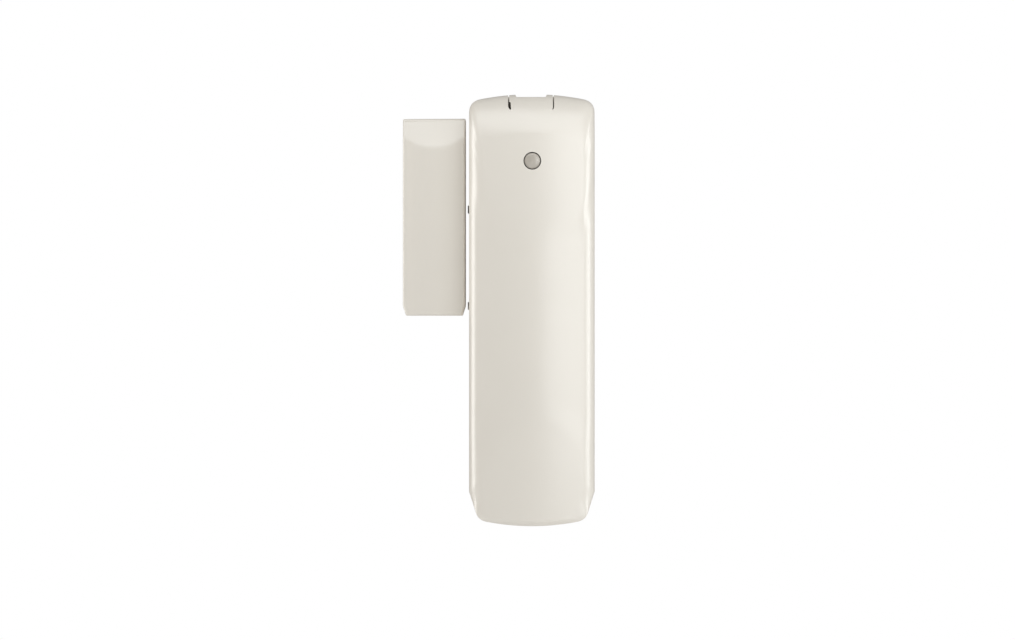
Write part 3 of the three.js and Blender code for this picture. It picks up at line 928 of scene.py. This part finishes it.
def make_reed():
    """Glass tube drawn in round the leads at both ends."""
    x, depth, z = box_mm("reed_glass")
    radius = (x[1] - x[0]) / 2
    low, high = z
    outside = [
        (0.35, low - 0.05),
        (radius * 0.6, low + 0.1),
        (radius * 0.93, low + 0.7),
        (radius, low + 1.4),
        (radius, high - 1.4),
        (radius * 0.93, high - 0.7),
        (radius * 0.6, high - 0.1),
        (0.35, high + 0.05),
    ]
    return turned_on_height("reed_tube", middle(x), middle(depth), outside, 32)


def make_lead(node, side):
    """Lead of the reed switch: out of the glass, then bent down to the board. Side is 1 at the top."""
    x, depth, z = box_mm(node)
    centre_x = middle(x)
    bend_z = z[1] - 0.7 if side > 0 else z[0] + 0.7
    end_z = z[0] if side > 0 else z[1]
    top = depth[1] - 0.2
    return tube(node + "_wire", [
        (centre_x, depth[0], bend_z),
        (centre_x, depth[0] + 1.2, bend_z),
        (centre_x, top - 0.2, bend_z),
        (centre_x, top, bend_z - side * 0.25),
        (centre_x, top, bend_z - side * 1.2),
        (centre_x, top, end_z),
    ], 0.2)


def joint_of_solder(x, z):
    """A small cone of solder on the board."""
    radius, top = 0.75, BOARD_TOP
    return turned_on_depth("solder", x, z, [
        (radius, top - 0.02),
        (radius * 0.92, top + 0.12),
        (radius * 0.55, top + 0.3),
        (radius * 0.3, top + 0.5),
        (radius * 0.12, top + 0.55),
    ], 20)


def make_chip(node, name, legs):
    """A chip's body, and its leads along both sides as one piece."""
    x, depth, z = box_mm(node)
    foot = depth[0]
    body = rounded_box(name, (x[0] + 0.8, x[1] - 0.8), (foot + 0.12, depth[1]), z, 0.12)
    pitch = (z[1] - z[0]) / legs
    leads = []
    for k in range(legs):
        width = around(z[0] + pitch * (k + 0.5), 0.13)
        for outer, inner in ((x[0], x[0] + 0.85), (x[1], x[1] - 0.85)):
            leads.append(block("lead", sorted((outer, inner)), (foot, foot + 0.18), width))
            leads.append(block("lead", around(inner, 0.2), (foot, foot + 0.5), width))
    return body, merged(name + "_leads", leads)


def make_small_parts():
    """Chip resistors and capacitors: dark bodies with tinned ends."""
    base = BOARD_TOP + 0.02
    bodies, ends = [], []
    for x, z, upright in CHIPS:
        half_x, half_z = (0.288, 0.576) if upright else (0.576, 0.288)
        bodies.append(block("chip", around(x, half_x), (base, base + 0.48), around(z, half_z)))
        for shift in (-0.62, 0.62):
            end_x, end_z = (x, z + shift) if upright else (x + shift, z)
            half_x, half_z = (0.42, 0.2) if upright else (0.2, 0.42)
            ends.append(block("end", around(end_x, half_x), (base, base + 0.5), around(end_z, half_z)))
    return merged("chip_parts", bodies), merged("chip_ends", ends)


def make_switch(node, plunger, name):
    """Body, cover plate and four rivets of a push switch with a bore for its plunger."""
    x, depth, z = box_mm(node)
    low, high = depth
    plunger_x = box_mm(plunger)[0]
    bore = (plunger_x[1] - plunger_x[0]) / 2 + 0.3
    body = block(name, x, (low, high - 0.35), z)
    plate = block(name + "_plate", (x[0] + 0.1, x[1] - 0.1), (high - 0.3, high), (z[0] + 0.1, z[1] - 0.1))
    for piece, rounding in ((body, 0.15), (plate, 0.08)):
        carve(piece, [turned_on_depth("bore", middle(x), middle(z), [(bore, low + 2), (bore, high + 1)])])
        soften(piece, rounding)
    rivet = [(0.28, high - 0.05), (0.26, high + 0.08), (0.12, high + 0.15)]
    rivets = [
        turned_on_depth("rivet", rivet_x, rivet_z, rivet, 16)
        for rivet_x in (x[0] + 0.75, x[1] - 0.75)
        for rivet_z in (z[0] + 0.75, z[1] - 0.75)
    ]
    return body, plate, merged(name + "_rivets", rivets)


def make_plunger(node, name):
    """Round plunger with a domed end."""
    x, depth, z = box_mm(node)
    radius = (x[1] - x[0]) / 2
    return turned_on_depth(name, middle(x), middle(z), [
        (radius, depth[0]),
        (radius, depth[1] - 0.7),
        (radius * 0.93, depth[1] - 0.4),
        (radius * 0.75, depth[1] - 0.15),
        (radius * 0.4, depth[1] - 0.02),
        (0.1, depth[1]),
    ], 40)


def make_screw(node, name, slotted):
    """Screw with a domed head and a single slot, or a cross."""
    x, depth, z = box_mm(node)
    centre_x, centre_z = middle(x), middle(z)
    radius = (x[1] - x[0]) / 2
    top = depth[1]
    head = turned_on_depth(name, centre_x, centre_z, [
        (radius * 0.45, depth[0]),
        (radius * 0.45, top - 1.25),
        (radius, top - 1.2),
        (radius, top - 0.5),
        (radius * 0.9, top - 0.22),
        (radius * 0.6, top - 0.04),
        (0.1, top),
    ], 40)
    long, narrow = radius * 0.62, 0.2
    deep = (top - 0.55, top + 1)
    tools = [block("slot", around(centre_x, long), deep, around(centre_z, narrow))]
    if not slotted:
        tools.append(block("slot", around(centre_x, narrow), deep, around(centre_z, long)))
    return carve(head, tools)


def make_led():
    """Surface-mounted indicator: its base and its small dome."""
    x, depth, z = box_mm("signal_led")
    base = rounded_box("led_base", x, (depth[0], depth[1] - 0.4), z, 0.15)
    dome = turned_on_depth("led_dome", middle(x), middle(z), [
        (0.8, depth[1] - 0.45),
        (0.78, depth[1] - 0.3),
        (0.6, depth[1] - 0.1),
        (0.3, depth[1]),
        (0.05, depth[1] + 0.02),
    ], 32)
    return base, dome


def make_capacitor():
    """Can with a rolled groove near its foot and a crossed vent in its top."""
    x, depth, z = box_mm("smoothing_capacitor")
    centre_x, centre_z = middle(x), middle(z)
    radius = (x[1] - x[0]) / 2
    top = depth[1]
    can = turned_on_depth("capacitor_can", centre_x, centre_z, [
        (radius - 0.1, depth[0] + 0.1),
        (radius, depth[0] + 0.3),
        (radius, depth[0] + 0.9),
        (radius - 0.15, depth[0] + 1.1),
        (radius, depth[0] + 1.3),
        (radius, top - 0.35),
        (radius - 0.25, top - 0.08),
        (radius - 0.5, top - 0.12),
        (0.1, top - 0.12),
    ], 40)
    long, narrow = 1.1, 0.06
    deep = (top - 0.2, top + 1)
    cuts = [
        block("vent", around(centre_x, long), deep, around(centre_z, narrow)),
        block("vent", around(centre_x, narrow), deep, around(centre_z, long)),
    ]
    return carve(can, cuts)


def make_posts():
    """Posts that carry the board, flared at the floor of the tray."""
    profile = [(2.3, FLOOR - 0.1), (1.95, FLOOR + 0.2), (1.8, FLOOR + 0.7), (1.7, 5.6), (1.55, 5.7)]
    return merged("tray_posts", [turned_on_depth("post", x, z, profile, 32) for x, z in POSTS])


# ---------- details of the shells ----------


def extruded_across(name, profile, x):
    """A (depth, z) outline given width across X."""
    return loft(name, [[(end, depth, z) for depth, z in profile] for end in x])


def make_hooks():
    """Two C-shaped hooks at the cover's bottom edge that reach back into the tray."""
    profile = [
        (9.0, LOW + 1.2), (9.0, LOW + 3.55), (5.6, LOW + 3.55), (5.6, LOW + 2.6),
        (4.5, LOW + 2.6), (4.5, LOW + 4.7), (10.2, LOW + 4.7), (10.2, LOW + 1.2),
    ]
    hooks = [
        finish_bevel(extruded_across("hook", profile, around(side * HOOK_X, HOOK_HALF)), 0.15, 2)
        for side in (-1, 1)
    ]
    return merged("cover_hooks", hooks)


def make_cover_ribs():
    """Ribs, cell stop, lens collar and tamper post moulded on the inside of the cover."""
    inside = DEPTH - FRONT
    tamper_x, tamper_depth, tamper_z = box_mm("tamper_plunger")
    post = turned_on_depth("post", middle(tamper_x), middle(tamper_z), [
        (1.35, tamper_depth[1] + GAP),
        (1.5, tamper_depth[1] + GAP + 0.15),
        (1.55, inside - 1.2),
        (2.3, inside + 0.3),
    ], 32)
    cell_x = box_mm("battery_cell")[0]
    stop = rounded_box("stop", around(middle(cell_x), 4), (inside - 0.7, inside + 0.6), (-26, -24.8), 0.2)
    collar = turned_on_depth("collar", LAMP_X, LAMP_Z, [(4.6, inside - 1.4), (4.6, inside + 0.5)], 48)
    carve(collar, [turned_on_depth("bore", LAMP_X, LAMP_Z, [(3.5, inside - 3), (3.5, inside + 3)], 48)])
    sides = [
        rounded_box("rib", around(x, 0.5), (12, 17.5), around(z, 0.4), 0.15)
        for x in (-RIB_X, RIB_X)
        for z in RIB_HEIGHTS
    ]
    return merged("cover_ribs", [post, stop, collar, *sides])


def make_latch_arm():
    """Arm behind the tongue that drops into the tray, with its ramped nose."""
    inside = HIGH - WALL
    profile = [
        (10.4, inside + 0.6), (10.4, 50.3), (3.2, 50.3), (3.2, 51.2),
        (4.2, 51.8), (5.2, 51.8), (5.2, 51.4), (9.0, 51.4), (9.0, inside + 0.6),
    ]
    arm = extruded_across("latch_arm", profile, around(LATCH_X, LATCH_HALF - 1.65))
    return finish_bevel(arm, 0.12, 2)


def make_ticks():
    """Alignment ticks on the side of the tray that faces the magnet."""
    ticks = [
        finish_bevel(block("tick", (TRAY_LEFT, -HALF + 0.6), (1.2, 6), around(z, 1)), 0.12, 2)
        for z in TICK_HEIGHTS
    ]
    return merged("alignment_ticks", ticks)


def make_tray_ribs():
    """Low stiffening ribs on the floor of the tray."""
    depth = (FLOOR - 0.2, FLOOR + 1.6)
    across = [rounded_box("rib", (-12.9, 12.9), depth, around(z, 0.5), 0.2) for z in (-28, -14, 14, 28)]
    along = [rounded_box("rib", around(x, 0.5), depth, (-38, 40), 0.2) for x in (-5, 5)]
    return merged("tray_ribs", across + along)


def make_magnet_details():
    """Side walls, end stops and snap clips that hold the bar magnet on its base."""
    x, _, z = box_mm("bar_magnet")
    long_z = (z[0] - 1.4, z[1] + 1.4)
    walls = [
        rounded_box("wall", around(MAGNET_MID + side * MAGNET_WALL_X, 0.5), (1.5, 5.5), long_z, 0.2)
        for side in (-1, 1)
    ]
    ends = [
        rounded_box("end", x, (1.5, 4.2), around(edge, 0.5), 0.2)
        for edge in (z[0] - 0.9, z[1] + 0.9)
    ]
    clips = [
        rounded_box("clip", around(MAGNET_MID, 6.05), (0.4, 3.4), around(at, 2), 0.25)
        for at in (CAP_Z[0] + 8, CAP_Z[1] - 8)
    ]
    return merged("magnet_holder", walls + ends + clips)


def make_painted_shadow_ring():
    """Black ring between the lens and the edge of its hole: painted shadow standing in for the shaded gap
    round the lens.
    """
    inner, outer = LAMP_LENS / 2 + 0.02, LAMP_HOLE / 2 - 0.01
    profile = ((inner, 23.9), (outer, 23.9), (outer, 25.2), (inner, 25.35), (inner, 23.9))
    rings = [circle(LAMP_X, LAMP_Z, radius, depth) for radius, depth in profile]
    return loft("lens_painted_shadow_ring", rings, caps=False)


# ---------- assembly ----------


def restyle(node, look, softening=0.0):
    """Keeps a CAD node's shape, with a better material and slightly rounded edges."""
    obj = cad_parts[node]
    for place in obj.material_slots:
        place.material = look[0]
    if softening:
        soften(obj, softening, 2)


# Each look is a material with the name of its slot in the record
ivory = (moulded_plastic("ivory", (0.74, 0.695, 0.625), 0.025, 0.30, 0.00002), "ivory_plastic")
black = (moulded_plastic("black_plastic", (0.028, 0.028, 0.031), 0.15, 0.42, 0.00003), "black_plastic")
nylon = (moulded_plastic("nylon", (0.72, 0.69, 0.60), 0.05, 0.4, 0.00002), "natural_nylon")
blue = (moulded_plastic("blue_plastic", (0.03, 0.13, 0.36), 0.1, 0.38, 0.00003), "terminal_plastic")
resin = (moulded_plastic("led_resin", (0.82, 0.80, 0.70), 0.04, 0.2, 0.00001), "led_resin")
nickel = (plated_metal("nickel", (0.70, 0.69, 0.66), 0.26), "nickel_plated")
tin = (plated_metal("solder_tin", (0.62, 0.62, 0.63), 0.34), "nickel_plated")
copper = (plated_metal("copper", (0.78, 0.40, 0.20), 0.24), "copper_wire")
magnet_metal = (plated_metal("magnet_metal", (0.34, 0.34, 0.36), 0.36), "magnet_metal")
board = (board_mask("board_mask"), "board_laminate")
glass = (clear_glass("tube_glass"), "reed_tube_glass")
guide = (light_guide("light_guide"), "light_guide")
sleeve = (printed_sleeve("cell_sleeve", *box_mm("battery_cell")[2]), "cell_sleeve")

# Shells
add(make_cover(), "cover", ivory, "front_cover")
add(make_hooks(), "cover", ivory)
add(make_cover_ribs(), "cover", ivory)
add(make_lens(), "cover", guide, "light_pipe")
# Black ring in the lens hole: painted shadow of the gap round the lens
add(make_painted_shadow_ring(), "cover", black)
add(make_tongue(), "latch", ivory, "latch_tongue")
add(make_latch_arm(), "latch", ivory)
add(make_tray(), "sensor", ivory, "rear_housing")
add(make_posts(), "sensor", ivory)
add(make_ticks(), "sensor", ivory)
add(make_tray_ribs(), "sensor", ivory)

# Magnet unit
add(cap_shell("cap_shell"), "magnet_cap", ivory, "magnet_cover")
add(make_base(), "magnet_unit", ivory, "magnet_base")
add(make_magnet_details(), "magnet_unit", ivory)
restyle("bar_magnet", magnet_metal, 0.35)

# Circuit board and what stands on it
restyle("circuit_board", board)
restyle("battery_holder", black, 0.25)
restyle("contact_plate", nickel, 0.08)
restyle("reed_fixed_blade", nickel)
restyle("reed_moving_blade", nickel)
restyle("terminal_block", blue, 0.15)
add(make_cell(), "sensor", sleeve, "battery_cell")
add(make_contact_spring(), "sensor", nickel, "contact_spring")
add(make_antenna(), "sensor", copper, "antenna_coil")
add(make_reed(), "sensor", glass, "reed_glass")
add(make_lead("reed_lead_lower", -1), "sensor", tin, "reed_lead_lower")
add(make_lead("reed_lead_upper", 1), "sensor", tin, "reed_lead_upper")
for node, name, legs in (("microcontroller", "processor_body", 10), ("radio_chip", "radio_body", 4)):
    body, leads = make_chip(node, name, legs)
    add(body, "sensor", black, node)
    add(leads, "sensor", tin)
add(rounded_box("crystal_cover", *box_mm("crystal_can"), 0.45), "sensor", nickel, "crystal_can")
add(make_capacitor(), "sensor", black, "smoothing_capacitor")
led_base, led_dome = make_led()
add(led_base, "sensor", resin, "signal_led")
add(led_dome, "sensor", guide)
for switch, plunger, name, cap_look in (
    ("tamper_switch_body", "tamper_plunger", "tamper_case", nylon),
    ("learn_switch_body", "learn_button", "learn_case", black),
):
    body, plate, rivets = make_switch(switch, plunger, name)
    add(body, "sensor", black, switch)
    add(plate, "sensor", nickel)
    add(rivets, "sensor", black)
    add(make_plunger(plunger, plunger + "_pin"), plunger.split("_")[0], cap_look, plunger)
for node in ("terminal_screw_left", "terminal_screw_right"):
    add(make_screw(node, node + "_head", True), "sensor", nickel, node)
add(make_screw("board_screw", "board_screw_head", False), "sensor", nickel, "board_screw")
chips, chip_ends = make_small_parts()
add(chips, "sensor", black)
add(chip_ends, "sensor", tin)
solder = [joint_of_solder(x, z) for x, z in SOLDERED]
add(merged("solder_joints", solder), "sensor", tin)


# ---------- studio ----------

# What the lights point at. The studio is in metres.
AIM = Vector((-0.0062, -0.02, -0.002))
COOL, WARM = (0.95, 0.98, 1.0), (1.0, 0.99, 0.97)

# Name, azimuth and elevation in degrees, distance, size, strength and colour of each light
LIGHTS = (
    ("right_front", 30, 0, 0.9, (0.62, 0.84), 2.3, COOL),
    ("right_side", 80, 0, 0.9, (0.45, 0.60), 3.9, COOL),
    ("left_side", -98, 0, 0.9, (0.50, 0.60), 4.3, WARM),
    ("overhead", -10, 52, 0.3, (0.50, 0.18), 1.8, COOL),
)

# Where the camera stands, and the width that it sees at a depth midway through the sensor
CAMERA_AT = Vector((-0.0062, -1.6, -0.0026))
VIEW_WIDTH, VIEW_DEPTH = 0.2596, 0.013


def softbox(name, azimuth, elevation, distance, size, radiance, colour):
    """A rectangular light around the front, by its angles and distance, aimed at the object."""
    data = bpy.data.lights.new(name, "AREA")
    data.shape = "RECTANGLE"
    data.size, data.size_y = size
    data.energy = radiance * size[0] * size[1] * math.pi
    data.color = colour
    light = bpy.data.objects.new(name, data)
    light.visible_camera = False
    bpy.context.collection.objects.link(light)
    turn, lift = math.radians(azimuth), math.radians(elevation)
    away = Vector((math.sin(turn) * math.cos(lift), -math.cos(turn) * math.cos(lift), math.sin(lift)))
    light.location = AIM + away * distance
    light.rotation_euler = (-away).to_track_quat("-Z", "Y").to_euler()


def make_world(shown, lighting):
    """A white surround, brighter where it is seen directly than in the light it gives."""
    world = bpy.data.worlds.new("studio")
    world.use_nodes = True
    nodes, links = world.node_tree.nodes, world.node_tree.links
    background = nodes["Background"]
    seen = nodes.new("ShaderNodeLightPath").outputs["Is Camera Ray"]
    warm_white, white = (1, 0.98, 0.95), (1, 1, 1)
    links.new(two_colours(nodes, links, seen, warm_white, white), background.inputs["Color"])
    links.new(spread(nodes, links, seen, lighting, shown), background.inputs["Strength"])
    bpy.context.scene.world = world


def make_camera():
    """Camera straight in front, level with the middle of the object."""
    data = bpy.data.cameras.new("camera")
    data.sensor_width = 36
    data.lens = data.sensor_width * (-CAMERA_AT.y - VIEW_DEPTH) / VIEW_WIDTH
    camera = bpy.data.objects.new("camera", data)
    camera.location = CAMERA_AT
    camera.rotation_euler = (math.pi / 2, 0, 0)
    bpy.context.collection.objects.link(camera)
    bpy.context.scene.camera = camera


def make_floor():
    """Plain floor a little below the object that ends before it reaches the lights."""
    floor = block("floor", (-620, 620), (-340, 620), (-112, -110))
    floor.data.materials.append(pale_floor("pale_floor"))


make_world(shown=1.0, lighting=0.28)
for light in LIGHTS:
    softbox(*light)
make_floor()
make_camera()
bpy.context.scene.view_settings.view_transform = "Standard"
